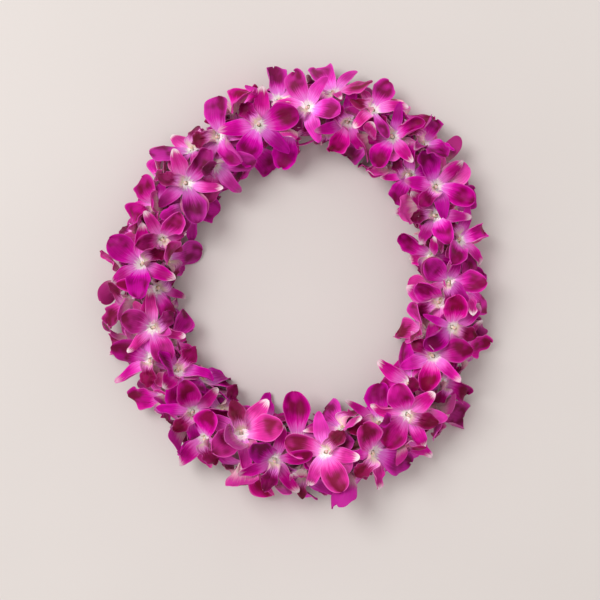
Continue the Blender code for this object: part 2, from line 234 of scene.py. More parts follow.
def seat_bloom(number, attempt, seat, along, way):
    """A bloom at its seat on the string, turned on from the last by the golden angle."""
    draw = np.random.default_rng([SEED, number, attempt])
    turned = number * GOLDEN_TURN + draw.uniform(-ROLL_JITTER, ROLL_JITTER)
    roll = ((turned + math.pi) % math.tau - math.pi) * ROLL_LIMIT / math.pi
    out = math.cos(roll) * UP + math.sin(roll) * along.cross(UP)
    lean = way * draw.uniform(*LEAN_RANGE)
    face = math.cos(lean) * out + math.sin(lean) * along
    spin = draw.uniform(0, math.tau)
    side = along.cross(out)
    up = math.cos(spin) * side + math.sin(spin) * face.cross(side)
    place = seat - LOOP_CENTRE
    swell = waved(1.0, SWELL_WAVES, math.atan2(place.y, place.x))
    height = draw.uniform(*THROAT_HEIGHTS) * swell
    height += (UNDER_THROAT_HEIGHT - height) * max(-out.z, 0)
    size = draw.uniform(*SIZE_RANGE) * swell
    draws = {
        kind.name: {
            "lift": draw.uniform(-LIFT_SPREAD, LIFT_SPREAD),
            "curl": draw.uniform(-CURL_SPREAD, CURL_SPREAD),
            "twist": draw.uniform(-TWIST_SPREAD, TWIST_SPREAD),
            "swing": draw.uniform(-SWING_SPREAD, SWING_SPREAD),
            "length": draw.uniform(*LENGTH_RANGE),
        }
        for kind in BLADE_KINDS
    }
    return Bloom(number, seat, along, face, up, height, size, draws)


print("lengths in mm:", {kind.name: round(kind.length * 1000, 1) for kind in BLADE_KINDS})

# %% [markdown]
# ## How a blade bends
#
# Petals, sepals and the lip are all blades: flat at heart, and bent along an arc from the throat to the
# tip. A pose says how a blade differs from its natural one: its share of the full size, a lift in
# degrees and a swing in degrees. A blade that would go through the table is held up by it.

# %% A blade's line, and the table
UNBEND_SHARE = 0.35
PRESS_LIMIT = 8 * MM
PRESS_SOFTNESS = 1.2 * MM
ROUNDING = 1.0001


def held_up(point):
    """The point of a blade's middle surface, held up by the table where it would go through it."""
    least = BLADE_THICKNESS / 2
    rise = (point.z - least) / PRESS_SOFTNESS
    if rise >= 1:
        return point
    held = 0.0 if rise <= -1 else PRESS_SOFTNESS * (rise + 1) ** 2 / 4
    return Vector((point.x, point.y, least + held))


def blade_frame(bloom, kind, pose, u):
    """Middle point, cross direction and front of a blade at a share u of its length."""
    share, lift, swing = pose
    draw = bloom.draws[kind.name]
    start = math.radians(kind.rise + draw["lift"] + lift)
    bend = math.radians(kind.droop - kind.rise + draw["curl"] - lift * UNBEND_SHARE)
    length = kind.length * bloom.size * draw["length"] * share
    now = start + bend * u
    reach = length * (math.sin(now) - math.sin(start)) / bend
    climb = length * (math.cos(start) - math.cos(now)) / bend
    turn = math.tau / SIDES * kind.side + math.radians(kind.aim + draw["swing"] + swing)
    outwards = bloom.around(turn)
    heading = math.cos(now) * outwards + math.sin(now) * bloom.face
    flat = bloom.face.cross(outwards)
    twist = math.radians(draw["twist"]) * u
    across = math.cos(twist) * flat + math.sin(twist) * heading.cross(flat)
    root = THROAT_RADIUS * math.cos(math.pi / SIDES)
    middle = bloom.centre(bloom.height + climb) + outwards * (root + reach)
    return middle, across, heading.cross(across)


def tip_corners(bloom, kind, pose):
    """The four corners of the plain blade's tip, or None if it can't lie in this pose."""
    middles = [blade_frame(bloom, kind, pose, 0.0)[0]]
    for length_share, width_share in kind.outline:
        middle, across, _ = blade_frame(bloom, kind, pose, length_share)
        half = across * (kind.width * bloom.size * pose[0] / 2 * width_share)
        if min(middle.z - half.z, middle.z + half.z) < -PRESS_LIMIT:
            return None
        clockwise, anticlockwise = held_up(middle - half), held_up(middle + half)
        middles.append((clockwise + anticlockwise) / 2)
    normal = (middles[-1] - middles[-2]).cross(anticlockwise - clockwise).normalized()
    if max(clockwise.z, anticlockwise.z) < BLADE_THICKNESS / 2 * ROUNDING:
        normal = math.copysign(1, normal.z) * UP
    normal *= BLADE_THICKNESS / 2
    found = [clockwise - normal, anticlockwise - normal, anticlockwise + normal, clockwise + normal]
    return [Vector((corner.x, corner.y, max(corner.z, 0))) for corner in found]


print("a pressed blade's middle lies", round(held_up(-UP).z * 1000, 2), "mm up")

# %% [markdown]
# ## Reading the poses off the solids
#
# The plain solids were posed by trying one pose after another until a blade lay clear of the rest. We
# needn't repeat that search: the pose that was taken is the one whose tip has its corners on the solid.

# %% Find every bloom and every pose
SHARES = (1.0, 0.88, 0.76, 0.64, 0.52, 0.4)
LIFTS = (0, 8, -8, 16, -16, 25, -25, 35, -35, 46, -46, 58, 70, -58, -70, 82)
SWINGS = (0, 8, -8, 16, -16, 24, -24)
MATCH = 0.02 * MM


def corner_tree(node):
    """A tree of a solid's corners, to look points up in."""
    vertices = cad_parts[node].data.vertices
    tree = KDTree(len(vertices))
    for vertex in vertices:
        tree.insert(vertex.co, vertex.index)
    tree.balance()
    return tree


def on_solid(tree, points):
    """Whether every point is a corner of the solid."""
    return all(tree.find(point)[2] < MATCH for point in points)


def column_top(bloom):
    """Two corners of the plain column's top."""
    centre = bloom.centre(bloom.height + COLUMN_RISE)
    turns = (math.pi / SIDES, -math.pi / SIDES)
    return [centre + COLUMN_RADIUS * COLUMN_TAPER * bloom.around(turn) for turn in turns]


def find_blooms():
    """All the blooms, two to a solid, with the poses that their solids show."""
    found = []
    for pair, (start, end) in enumerate(zip(corners, corners[1:] + corners[:1])):
        tree = corner_tree(f"blooms_{pair + 1:02d}")
        along = (end - start).normalized()
        for way in (-1, 1):
            seat = (start + end) / 2 + way * along * BASE_LENGTH / 4
            tries = (seat_bloom(len(found), attempt, seat, along, way) for attempt in range(MOST_TRIES))
            bloom = next(bloom for bloom in tries if on_solid(tree, column_top(bloom)))
            for kind in BLADE_KINDS:
                for pose in product(SHARES, LIFTS, SWINGS):
                    tip = tip_corners(bloom, kind, pose)
                    if tip and on_solid(tree, tip):
                        bloom.poses[kind.name] = pose
                        break
            found.append(bloom)
    return found


blooms = find_blooms()
print("blooms:", len(blooms), "blades:", sum(len(bloom.poses) for bloom in blooms))

# %% [markdown]
# ## The shape of a petal
#
# A flat grid becomes a blade in three steps. Its outline narrows to a claw at the throat and rounds off
# at the tip. It is laid along the blade's arc. Then it gets what makes it look alive: a groove down the
# middle, an arched width, edges that roll in, and a ruffle that grows towards the rim. At last it gets a
# thin wall's thickness. Every blade draws its own ruffle, so no two are alike.

# %% Outlines
FINE_THICKNESS = 0.45 * MM
ROOT_TUCK = -0.06
TIP_END = 1.03
TIP_CROWDING = 1.7
LOBE_PLACE = 0.24
FULL_TOP = 0.97
FULL_SIDES = 1.25
DETAIL = {"petal": (20, 14), "sepal": (18, 10), "lip": (30, 16)}
SMALL_DETAIL = (12, 8)


def smooth(value, low, high):
    """0 below low, 1 above high, and an even rise between."""
    share = min(max((value - low) / (high - low), 0.0), 1.0)
    return share * share * (3 - 2 * share)


def bell(value, middle, spread):
    """1 at the middle, and falling off to both sides."""
    return math.exp(-(((value - middle) / spread) ** 2))


def rounded(u, peak, power):
    """How a width falls off from its peak to a rounded tip."""
    return max(1 - (max(u - peak, 0.0) / (TIP_END + 0.002 - peak)) ** power, 0.0) ** 0.5


def petal_width(u):
    """Broad and round, from a narrow claw."""
    return 0.96 * (0.40 + 0.60 * smooth(u, 0.0, 0.60)) * rounded(u, 0.55, 2.1)


def sepal_width(u):
    """A lance head."""
    return (0.54 + 0.42 * smooth(u, -0.05, 0.46)) * rounded(u, 0.36, 1.45)


def lip_width(u):
    """Two side lobes, a waist and a broad middle lobe."""
    sides = 0.50 + 0.62 * bell(u, LOBE_PLACE, 0.15)
    middle = smooth(u, 0.38, 0.66)
    return (sides * (1 - middle) + 0.84 * middle) * rounded(u, 0.62, 1.8)


WIDTHS = {"petal": petal_width, "sepal": sepal_width, "lip": lip_width}
print("widths half way:", {sort: round(width(0.5), 2) for sort, width in WIDTHS.items()})

# %% [markdown]
# Each blade draws its relief once, in shares of its half width, so small and broad blades ruffle alike.
# `calmed` scales it, which keeps neighbours apart later on. The lip gets two upright side lobes and a
# ridge to each side of its middle line.

# %% Arch, ruffle and crinkles
LIP_FRILLS = 1.7
ROLL_FADE = 0.75


def draw_relief(sort, draw):
    """One blade's own arch, ruffle, rolled edges, tip curl and crinkles."""
    frills = LIP_FRILLS if sort == "lip" else 1.0
    return {
        "arch": draw.uniform(-0.3, 1.0),
        "ruffle": draw.uniform(0.05, 0.18),
        "waves": (draw.uniform(1.2, 3.2) * frills, draw.uniform(1.2, 3.2) * frills),
        "phases": (draw.uniform(0, 1), draw.uniform(0, 1)),
        "roll": (1.6 * draw.uniform() ** 2.5, 1.6 * draw.uniform() ** 2.5),
        "tip": draw.uniform(-0.45, 0.45),
        "groove": draw.uniform(0.03, 0.07),
        "skew": draw.uniform(-0.08, 0.08),
        "crinkle": draw.uniform(0.05, 0.15),
        "uneven": draw.uniform(0.05, 0.20),
        "seed": draw.uniform(0, 100),
        "lobes": draw.uniform(1.7, 2.3),
    }


def calmed(own, share):
    """The same blade with less relief, or with its relief turned to the other side."""
    less = {name: own[name] * share for name in ("arch", "ruffle", "tip", "crinkle", "skew")}
    less["roll"] = tuple(amount * share for amount in own["roll"])
    less["lobes"] = own["lobes"] * (0.6 + 0.4 * abs(share))
    return {**own, **less}


def arch_angle(sort, own, u, v):
    """How far the blade has bent across its width at the edge, in radians."""
    if sort == "lip":
        return own["lobes"] * bell(u, LOBE_PLACE, 0.20) - 0.9 * smooth(u, 0.52, 0.95)
    fade = 1 - ROLL_FADE * smooth(u, 0.62, 1.0)
    rolled_edge = own["roll"][int(v > 0)] * smooth(abs(v), 0.2, 1.0) * fade
    return (own["arch"] + rolled_edge) * smooth(u, 0.0, 0.5) + 0.02


def relief(sort, own, u, v):
    """How far a point lies in front of the arched blade, in shares of its half width."""
    side = int(v > 0)
    wave = math.sin(math.tau * (own["waves"][side] * u + own["phases"][side]))
    height = own["ruffle"] * abs(v) ** 2.2 * wave * smooth(u, 0.1, 0.6)
    height += own["tip"] * smooth(u, 0.60, TIP_END) ** 2
    height -= own["groove"] * bell(v, 0, 0.14) * smooth(u, 0.0, 0.2) * (1 - smooth(u, 0.6, 0.95))
    crinkles = noise_at(Vector((own["seed"], 3.2 * u, 2.2 * v)))
    height += own["crinkle"] * crinkles * smooth(u, 0.1, 0.4)
    if sort == "lip":
        height += 0.10 * bell(abs(v), 0.16, 0.07) * smooth(u, 0.05, 0.2) * (1 - smooth(u, 0.5, 0.7))
    return height


print("a blade's draws:", list(draw_relief("petal", np.random.default_rng(SEED))))

# %% [markdown]
# Each grid point goes to its place on the blade and is marked with its place along and across it, which
# the finishes read. The sheet's back is its own faces, pushed back, so the wall is closed and even.

# %% Bend a grid into a blade
def new_part():
    """An empty mesh with the two attributes that the finishes read."""
    bm = bmesh.new()
    bm.verts.layers.float_vector.new("blade")
    bm.verts.layers.float_color.new("draws")
    return bm


def marks(bm):
    """The layers of those two attributes: the place on the blade, and the draws."""
    return bm.verts.layers.float_vector["blade"], bm.verts.layers.float_color["draws"]


def add_part(whole, bm, material_index):
    """Adds a finished part to a larger mesh, with its faces out and its material set."""
    bmesh.ops.recalc_face_normals(bm, faces=bm.faces)
    for face in bm.faces:
        face.material_index = material_index
        face.smooth = True
    mesh = bpy.data.meshes.new("part")
    bm.to_mesh(mesh)
    bm.free()
    whole.from_mesh(mesh)
    bpy.data.meshes.remove(mesh)


def thicken(bm):
    """Gives a bent sheet a back, marked as such, which keeps off the table as the front does."""
    place, _ = marks(bm)
    bm.normal_update()
    grown = bmesh.ops.extrude_face_region(bm, geom=bm.faces[:], use_keep_orig=True)["geom"]
    for vert in grown:
        if isinstance(vert, bmesh.types.BMVert):
            vert.co -= vert.normal * FINE_THICKNESS
            vert.co.z = max(vert.co.z, 0.0)
            vert[place].z = 1.0


def fullness(bloom):
    """Blooms on the sides, which fill the gaps between the upper ones, have broader blades."""
    return FULL_SIDES + (FULL_TOP - FULL_SIDES) * smooth(bloom.face.z, 0.1, 0.75)


def blade_part(bloom, kind, pose, calm, slim):
    """One petal, sepal or lip, with a share of its relief and of its width."""
    sort = kind.name.split("_")[0]
    draw = np.random.default_rng([SEED, bloom.number, kind.side, 1])
    own = calmed(draw_relief(sort, draw), calm)
    tones = (bloom_tone(bloom), draw.uniform(), draw.uniform(), 1.0)
    bm = new_part()
    place, tone = marks(bm)
    rows, columns = DETAIL[sort] if bloom.number < len(blooms) else SMALL_DETAIL
    bmesh.ops.create_grid(bm, x_segments=rows, y_segments=columns, size=1)
    half = kind.width * bloom.size * pose[0] / 2 * slim * fullness(bloom)
    frames = {}
    for vert in bm.verts:
        step = round((vert.co.x + 1) / 2, 5)
        v = vert.co.y
        if step not in frames:
            u = ROOT_TUCK + (TIP_END - ROOT_TUCK) * (1 - (1 - step) ** TIP_CROWDING)
            frames[step] = (u, WIDTHS[sort](u), *blade_frame(bloom, kind, pose, u))
        u, width, middle, across, front = frames[step]
        width *= 1 + own["uneven"] * noise_at(Vector((own["seed"], 2.6 * u, math.copysign(7, v))))
        arch = arch_angle(sort, own, u, v)
        skewed = own["skew"] * smooth(u, 0.2, 1.0) * (1 - v * v)
        sideways = half * (width * math.sin(arch * v) / arch + skewed)
        forwards = half * (width * (1 - math.cos(arch * v)) / arch + relief(sort, own, u, v))
        forwards += FINE_THICKNESS / 2
        vert.co = held_up(middle + across * sideways + front * forwards)
        vert[place] = (u, v, 0.0)
        vert[tone] = tones
    thicken(bm)
    return bm


def bloom_tone(bloom):
    """How deep or pale a whole bloom is, from 0 to 1."""
    return np.random.default_rng([SEED, bloom.number, 2]).uniform()


print("a side bloom's blades are", round(max(map(fullness, blooms)), 2), "times as broad")

# %% [markdown]
# ## Throat, column and base
#
# The blades meet in a cup. From its floor rises the column, a short pale post with a rounded cap. Below,
# the cup narrows to a neck and ends in a base that the string runs through. A turned profile gives all
# of this in one piece: outside up the neck, over the rim, down into the cup and up the column.

# %% Turn the neck, cup and column
TURN_STEPS = 20


def neck_profile(height):
    """Share, radius and height of the turned profile: 0 to 1 neck, 1 to 2 cup, 2 to 3 column."""
    return (
        (0.00, 0.0, 1.5 * MM),
        (0.05, 3.2 * MM, 1.8 * MM),
        (0.20, 3.5 * MM, 4.2 * MM),
        (0.50, 3.1 * MM, 0.50 * height),
        (0.75, 3.3 * MM, height - 4.0 * MM),
        (0.92, 3.9 * MM, height - 1.2 * MM),
        (1.00, 4.2 * MM, height - 0.1 * MM),
        (1.10, 4.0 * MM, height + 0.3 * MM),
        (1.30, 3.3 * MM, height - 0.3 * MM),
        (1.60, 2.4 * MM, height - 1.8 * MM),
        (2.00, 1.8 * MM, height - 2.9 * MM),
        (2.20, 1.3 * MM, height - 1.6 * MM),
        (2.50, 1.2 * MM, height + 0.4 * MM),
        (2.70, 1.45 * MM, height + 1.6 * MM),
        (2.85, 1.35 * MM, height + 2.5 * MM),
        (2.95, 0.8 * MM, height + 3.1 * MM),
        (3.00, 0.0, height + 3.3 * MM),
    )


def turn(bm, centre, axis, steps, geom):
    """Turns a profile once round an axis and closes it."""
    whole_turn = {"dvec": (0, 0, 0), "angle": math.tau, "steps": steps, "use_merge": True}
    bmesh.ops.spin(bm, geom=geom, cent=centre, axis=axis, **whole_turn)
    bmesh.ops.remove_doubles(bm, verts=bm.verts, dist=0.002 * MM)


def neck_part(bloom):
    """The neck, the cup and the column, with the column arched over the lip."""
    bm = new_part()
    place, tone = marks(bm)
    tones = (bloom_tone(bloom), 0.5, 0.5, 1.0)
    line = []
    for share, radius, height in neck_profile(bloom.height):
        vert = bm.verts.new(bloom.centre(height) + bloom.up * radius)
        vert[place] = (share, 0.0, 0.0)
        vert[tone] = tones
        line.append(vert)
    edges = [bm.edges.new(pair) for pair in zip(line, line[1:])]
    turn(bm, bloom.seat, bloom.face, TURN_STEPS, line + edges)
    for vert in bm.verts:
        share = vert[place].x
        outwards = vert.co - bloom.seat
        outwards = (outwards - bloom.face * outwards.dot(bloom.face)).normalized()
        vert[place] = (share, outwards.dot(bloom.up), outwards.dot(bloom.face.cross(bloom.up)))
        arch = -1.3 * MM * smooth(share, 2.1, 2.9)
        chin = -0.9 * MM * smooth(share, 0.2, 0.6) * smooth(-share, -0.95, -0.7)
        vert.co += bloom.up * (arch + chin)
    return bm


def base_part(pair):
    """The pierced base that two blooms share, rounded at both ends."""
    bm = new_part()
    place, tone = marks(bm)
    middle = (pair[0].seat + pair[1].seat) / 2
    along = pair[0].along
    half, bore = BASE_LENGTH / 2, 1.05 * MM
    profile = ((-half, bore), (-half, 2.4 * MM), (-0.92 * half, 3.3 * MM), (-0.75 * half, 3.8 * MM))
    profile += ((-0.45 * half, BASE_RADIUS), (0.0, 3.6 * MM))
    profile += tuple((-end, radius) for end, radius in reversed(profile[:-1]))
    line = [bm.verts.new(middle + along * end + UP * radius) for end, radius in profile]
    for vert in line:
        vert[place] = (0.1, 0.0, 0.0)
        vert[tone] = (bloom_tone(pair[0]), 0.5, 0.5, 1.0)
    edges = [bm.edges.new((line[index - 1], line[index])) for index in range(len(line))]
    turn(bm, middle, along, TURN_STEPS, line + edges)
    return bm


heights = [round(bloom.height * 1000, 1) for bloom in blooms]
print("throats", min(heights), "to", max(heights), "mm from the string")

# %% [markdown]
# ## Finishes that grow with the flower
#
# Colour on a petal follows its growth. So the finishes read two attributes that each point carries: its
# place along and across the blade, and its bloom's and blade's own draws. All blades share one pattern:
# a pale root, colour that runs out along the veins, a darker outer half, a paler back, and a pale rim
# that is a painted highlight, where a thin edge would catch the light.

# %% Helpers for node trees
def feed(tree, socket, value):
    """Links a socket to another one, or sets its value."""
    if isinstance(value, bpy.types.NodeSocket):
        tree.links.new(value, socket)
    else:
        socket.default_value = value


def calculate(tree, operation, *values):
    """A Math node."""
    node = tree.nodes.new("ShaderNodeMath")
    node.operation = operation
    for socket, value in zip(node.inputs, values):
        feed(tree, socket, value)
    return node.outputs[0]


def times(tree, first, second):
    """A product."""
    return calculate(tree, "MULTIPLY", first, second)


def between(tree, value, low, high, out_low=0.0, out_high=1.0):
    """A smooth step from one value to another, as a Map Range node."""
    node = tree.nodes.new("ShaderNodeMapRange")
    node.interpolation_type = "SMOOTHSTEP"
    for socket, amount in zip(node.inputs, (value, low, high, out_low, out_high)):
        feed(tree, socket, amount)
    return node.outputs[0]


def mix(tree, factor, first, second, mode="MIX"):
    """A Mix node for colours."""
    node = tree.nodes.new("ShaderNodeMix")
    node.data_type = "RGBA"
    node.blend_type = mode
    for socket, value in ((node.inputs[0], factor), (node.inputs[6], first), (node.inputs[7], second)):
        feed(tree, socket, value)
    return node.outputs[2]


def noise(tree, vector, scale, detail=2.0):
    """A Noise Texture node, from 0 to 1 round 0.5."""
    node = tree.nodes.new("ShaderNodeTexNoise")
    feed(tree, node.inputs["Vector"], vector)
    feed(tree, node.inputs["Scale"], scale)
    feed(tree, node.inputs["Detail"], detail)
    return node.outputs[0]


def attribute(tree, name):
    """The three parts of a point's attribute."""
    node = tree.nodes.new("ShaderNodeAttribute")
    node.attribute_name = name
    parts = tree.nodes.new("ShaderNodeSeparateXYZ")
    tree.links.new(node.outputs["Vector"], parts.inputs[0])
    return parts.outputs


def combine(tree, x, y, z):
    """A vector from three values."""
    node = tree.nodes.new("ShaderNodeCombineXYZ")
    for socket, value in zip(node.inputs, (x, y, z)):
        feed(tree, socket, value)
    return node.outputs[0]


def in_place(tree):
    """Object coordinates."""
    return tree.nodes.new("ShaderNodeTexCoord").outputs["Object"]


def new_group(name, inputs, outputs):
    """A shader node group with named inputs and outputs; returns it and its two end nodes."""
    group = bpy.data.node_groups.new(name, "ShaderNodeTree")
    for label, value in inputs.items():
        kind = "NodeSocketColor" if isinstance(value, tuple) else "NodeSocketFloat"
        group.interface.new_socket(name=label, in_out="INPUT", socket_type=kind).default_value = value
    for label, kind in outputs.items():
        group.interface.new_socket(name=label, in_out="OUTPUT", socket_type=kind)
    return group, group.nodes.new("NodeGroupInput").outputs, group.nodes.new("NodeGroupOutput").inputs


# %% The pattern that all blades share
PATTERN_INPUTS = {
    "Root": (0.98, 0.88, 0.90, 1),
    "Blush": (0.92, 0.24, 0.78, 1),
    "Body": (0.84, 0.006, 0.48, 1),
    "Deep": (0.22, 0.0005, 0.06, 1),
    "Back Root": (0.97, 0.76, 0.74, 1),
    "Back": (0.66, 0.05, 0.38, 1),
    "Root End": 0.11,
    "Blush End": 0.42,
    "Depth": 1.0,
    "Tip Pale": 0.0,
    "Rim Highlight Amount": 0.4,
    "Veins": 0.26,
    "Vein Count": 6.0,
}
PATTERN_OUTPUTS = {"Color": "NodeSocketColor", "Relief": "NodeSocketFloat", "Satin": "NodeSocketFloat"}
BLADE_TONES = (0.70, 1.20)
BLOOM_TONES = (1.05, 0.92)
HUES = (0.486, 0.514)
SATURATIONS = (0.96, 1.04)
PATCH_SCALE = 85.0
CELL_SCALE = 1900.0


def vein_lines(tree, across, wander, count):
    """Thin lines along the blade, 0 between them and 1 on them."""
    scaled = times(tree, across, count)
    bent = calculate(tree, "MULTIPLY_ADD", wander, 0.9, scaled)
    saw = calculate(tree, "FRACT", bent)
    fold = calculate(tree, "ABSOLUTE", calculate(tree, "SUBTRACT", saw, 0.5))
    return between(tree, fold, 0.34, 0.5)


def front_colour(tree, given, run_out, edge, patches, lines):
    """A blade's front: pale root, blush, body, and a deep patch inside its outer half."""
    root = between(tree, run_out, 0.0, given["Root End"])
    colour = mix(tree, root, given["Root"], given["Blush"])
    body_start = times(tree, given["Root End"], 0.7)
    body = between(tree, run_out, body_start, given["Blush End"])
    colour = mix(tree, body, colour, given["Body"])
    inside = between(tree, edge, 0.45, 1.0, 1.0, 0.25)
    outer = between(tree, run_out, 0.26, 0.60)
    cloud = between(tree, patches, 0.30, 0.58, 0.45, 1.0)
    deep = times(tree, times(tree, inside, outer), cloud)
    colour = mix(tree, times(tree, deep, given["Depth"]), colour, given["Deep"])
    dark = times(tree, times(tree, lines, given["Veins"]), root)
    return mix(tree, dark, colour, given["Deep"])


def build_pattern():
    """The shared pattern of petals, sepals and lips."""
    tree, given, out = new_group("blade_pattern", PATTERN_INPUTS, PATTERN_OUTPUTS)
    u, v, back = attribute(tree, "blade")
    bloom, blade, spot = attribute(tree, "draws")
    seed = times(tree, blade, 61.0)
    across = calculate(tree, "MULTIPLY_ADD", v, 6.0, seed)
    streak = noise(tree, combine(tree, across, times(tree, u, 1.3), bloom), 1.7, 4.0)
    patches = noise(tree, in_place(tree), PATCH_SCALE, 1.0)
    wander = calculate(tree, "SUBTRACT", streak, 0.5)
    run_out = calculate(tree, "MULTIPLY_ADD", wander, 0.42, u)
    edge = calculate(tree, "ABSOLUTE", v)
    lines = vein_lines(tree, v, wander, given["Vein Count"])
    colour = front_colour(tree, given, run_out, edge, patches, lines)
    # Painted highlight: a thin pale band along each blade's edge, stronger on some blades than on
    # others.
    rim_highlight_draw = between(tree, spot, 0.0, 0.8, 0.35, 1.0)
    rim = times(tree, between(tree, edge, 0.88, 1.0), given["Rim Highlight Amount"])
    colour = mix(tree, times(tree, rim, rim_highlight_draw), colour, given["Blush"])
    tip_draw = between(tree, spot, 0.3, 0.6)
    tip = times(tree, between(tree, run_out, 0.80, 1.0), given["Tip Pale"])
    colour = mix(tree, times(tree, tip, tip_draw), colour, given["Root"])
    behind = mix(tree, between(tree, run_out, 0.05, 0.62), given["Back Root"], given["Back"])
    behind = mix(tree, times(tree, lines, 0.3), behind, given["Body"])
    colour = mix(tree, back, colour, behind)
    tone = tree.nodes.new("ShaderNodeHueSaturation")
    by_blade = between(tree, blade, 0.0, 1.0, *BLADE_TONES)
    strength = times(tree, by_blade, between(tree, bloom, 0.0, 1.0, *BLOOM_TONES))
    feed(tree, tone.inputs["Hue"], between(tree, spot, 0.0, 1.0, *HUES))
    feed(tree, tone.inputs["Saturation"], between(tree, bloom, 0.0, 1.0, *SATURATIONS))
    feed(tree, tone.inputs["Value"], strength)
    feed(tree, tone.inputs["Color"], colour)
    feed(tree, out["Color"], tone.outputs[0])
    cells = noise(tree, in_place(tree), CELL_SCALE, 2.0)
    ribs = calculate(tree, "MULTIPLY_ADD", lines, -0.35, streak)
    feed(tree, out["Relief"], calculate(tree, "MULTIPLY_ADD", cells, 0.35, ribs))
    feed(tree, out["Satin"], between(tree, streak, 0.2, 0.8, 0.40, 0.60))
    return tree


blade_pattern = build_pattern()
print("pattern:", len(blade_pattern.nodes), "nodes")

# %% [markdown]
# Each kind of blade takes the pattern with its own values. Sepals are paler and end in a light tip. The
# lip is cream at its root and the deepest of all at its edge. The small inner petals lie in the shade,
# so they get lighter, pinker colours, painted light that makes up for that shade, or the gaps would
# look like holes. The shine is low, as on a fresh petal.

# %% Petal, sepal and lip finishes
PETAL_SPECULAR = 0.10
PETAL_SUBSURFACE = 0.2
PETAL_BUMP = 0.25 * MM


def new_finish(name, roughness=0.5, specular=0.4, subsurface=0.0, subsurface_size=1.0 * MM):
    """A material with a plain shader; returns it, its tree and its shader's sockets."""
    made = bpy.data.materials.new(name)
    made.use_nodes = True
    sockets = made.node_tree.nodes["Principled BSDF"].inputs
    sockets["Roughness"].default_value = roughness
    sockets["Specular IOR Level"].default_value = specular
    sockets["Subsurface Weight"].default_value = subsurface
    sockets["Subsurface Radius"].default_value = (1.0, 0.35, 0.7)
    sockets["Subsurface Scale"].default_value = subsurface_size
    return made, made.node_tree, sockets


def bump(tree, sockets, height, distance, strength=1.0):
    """Feeds a height to the shader's normal."""
    node = tree.nodes.new("ShaderNodeBump")
    node.inputs["Strength"].default_value = strength
    node.inputs["Distance"].default_value = distance
    feed(tree, node.inputs["Height"], height)
    feed(tree, sockets["Normal"], node.outputs[0])


def blade_finish(name, **values):
    """A blade's finish, from the shared pattern with its own values."""
    made, tree, sockets = new_finish(name, specular=PETAL_SPECULAR, subsurface=PETAL_SUBSURFACE)
    node = tree.nodes.new("ShaderNodeGroup")
    node.node_tree = blade_pattern
    for label, value in values.items():
        node.inputs[label.replace("_", " ")].default_value = value
    feed(tree, sockets["Base Color"], node.outputs["Color"])
    feed(tree, sockets["Roughness"], node.outputs["Satin"])
    bump(tree, sockets, node.outputs["Relief"], PETAL_BUMP, 0.5)
    return made


petal_finish = blade_finish("orchid_petal")
sepal_finish = blade_finish(
    "orchid_sepal",
    Root_End=0.15,
    Blush_End=0.58,
    Depth=0.55,
    Tip_Pale=0.8,
    Vein_Count=3.5,
)
lip_finish = blade_finish(
    "orchid_lip",
    Root=(0.95, 0.86, 0.66, 1),
    Body=(0.44, 0.002, 0.18, 1),
    Deep=(0.15, 0.0005, 0.035, 1),
    Back=(0.70, 0.22, 0.42, 1),
    Root_End=0.36,
    Blush_End=0.50,
    Veins=0.35,
    Vein_Count=5.0,
)
# Painted light: lighter colours that make up for the shade the lower whorl lies in.
inner_shade_lifted_finish = blade_finish(
    "inner_petal",
    Root=(0.97, 0.88, 0.74, 1),
    Blush=(0.94, 0.46, 0.70, 1),
    Body=(0.82, 0.05, 0.48, 1),
    Back_Root=(0.97, 0.66, 0.66, 1),
    Back=(0.78, 0.14, 0.50, 1),
    Root_End=0.34,
    Blush_End=0.80,
    Depth=0.35,
)
print("blade finishes:", petal_finish.name, sepal_finish.name, lip_finish.name, inner_shade_lifted_finish.name)

# %% [markdown]
# The neck and the base are pink, the cup is nearly white with a yellow-green floor, and the column is
# cream under a yellowish cap. One ramp along the turned profile holds these colours, and noise pushes it
# to and fro. Magenta streaks run along the neck, and brown marks lie in the cup.

# %% Neck, cup and column finish
NECK_COLOURS = (
    (0.00, (0.66, 0.46, 0.34)),
    (0.10, (0.90, 0.54, 0.58)),
    (0.24, (0.94, 0.54, 0.66)),
    (0.33, (0.95, 0.70, 0.72)),
    (0.42, (0.93, 0.82, 0.72)),
    (0.58, (0.82, 0.76, 0.44)),
    (0.72, (0.90, 0.86, 0.74)),
    (0.86, (0.92, 0.84, 0.78)),
    (0.93, (0.80, 0.70, 0.32)),
    (1.00, (0.86, 0.62, 0.66)),
)
STREAK_COLOUR = (0.60, 0.03, 0.30, 1)
MARK_COLOUR = (0.36, 0.12, 0.06, 1)


def build_neck_finish():
    """The finish of the turned parts."""
    made, tree, sockets = new_finish("orchid_neck", 0.48, subsurface=0.3, subsurface_size=1.5 * MM)
    share, cosine, sine = attribute(tree, "blade")
    round_it = [times(tree, value, 3.2) for value in (cosine, sine)]
    streaks = noise(tree, combine(tree, *round_it, share), 1.5, 3.0)
    patches = noise(tree, in_place(tree), 420.0, 3.0)
    moved = calculate(tree, "MULTIPLY_ADD", calculate(tree, "SUBTRACT", patches, 0.5), 0.35, share)
    ramp = tree.nodes.new("ShaderNodeValToRGB")
    while len(ramp.color_ramp.elements) < len(NECK_COLOURS):
        ramp.color_ramp.elements.new(0.5)
    for element, (position, colour) in zip(ramp.color_ramp.elements, NECK_COLOURS):
        element.position = position
        element.color = (*colour, 1)
    feed(tree, ramp.inputs[0], calculate(tree, "DIVIDE", moved, 3.0))
    cup = between(tree, share, 1.0, 1.25)
    mark = mix(tree, cup, STREAK_COLOUR, MARK_COLOUR)
    below_column = between(tree, share, 2.2, 2.0, 0.0, 0.7)
    marked = times(tree, between(tree, streaks, 0.48, 0.66), below_column)
    feed(tree, sockets["Base Color"], mix(tree, marked, ramp.outputs[0], mark))
    feed(tree, sockets["Roughness"], between(tree, patches, 0.2, 0.8, 0.38, 0.58))
    bump(tree, sockets, patches, 0.2 * MM, 0.5)
    return made


neck_finish = build_neck_finish()
print("neck finish:", len(neck_finish.node_tree.nodes), "nodes")

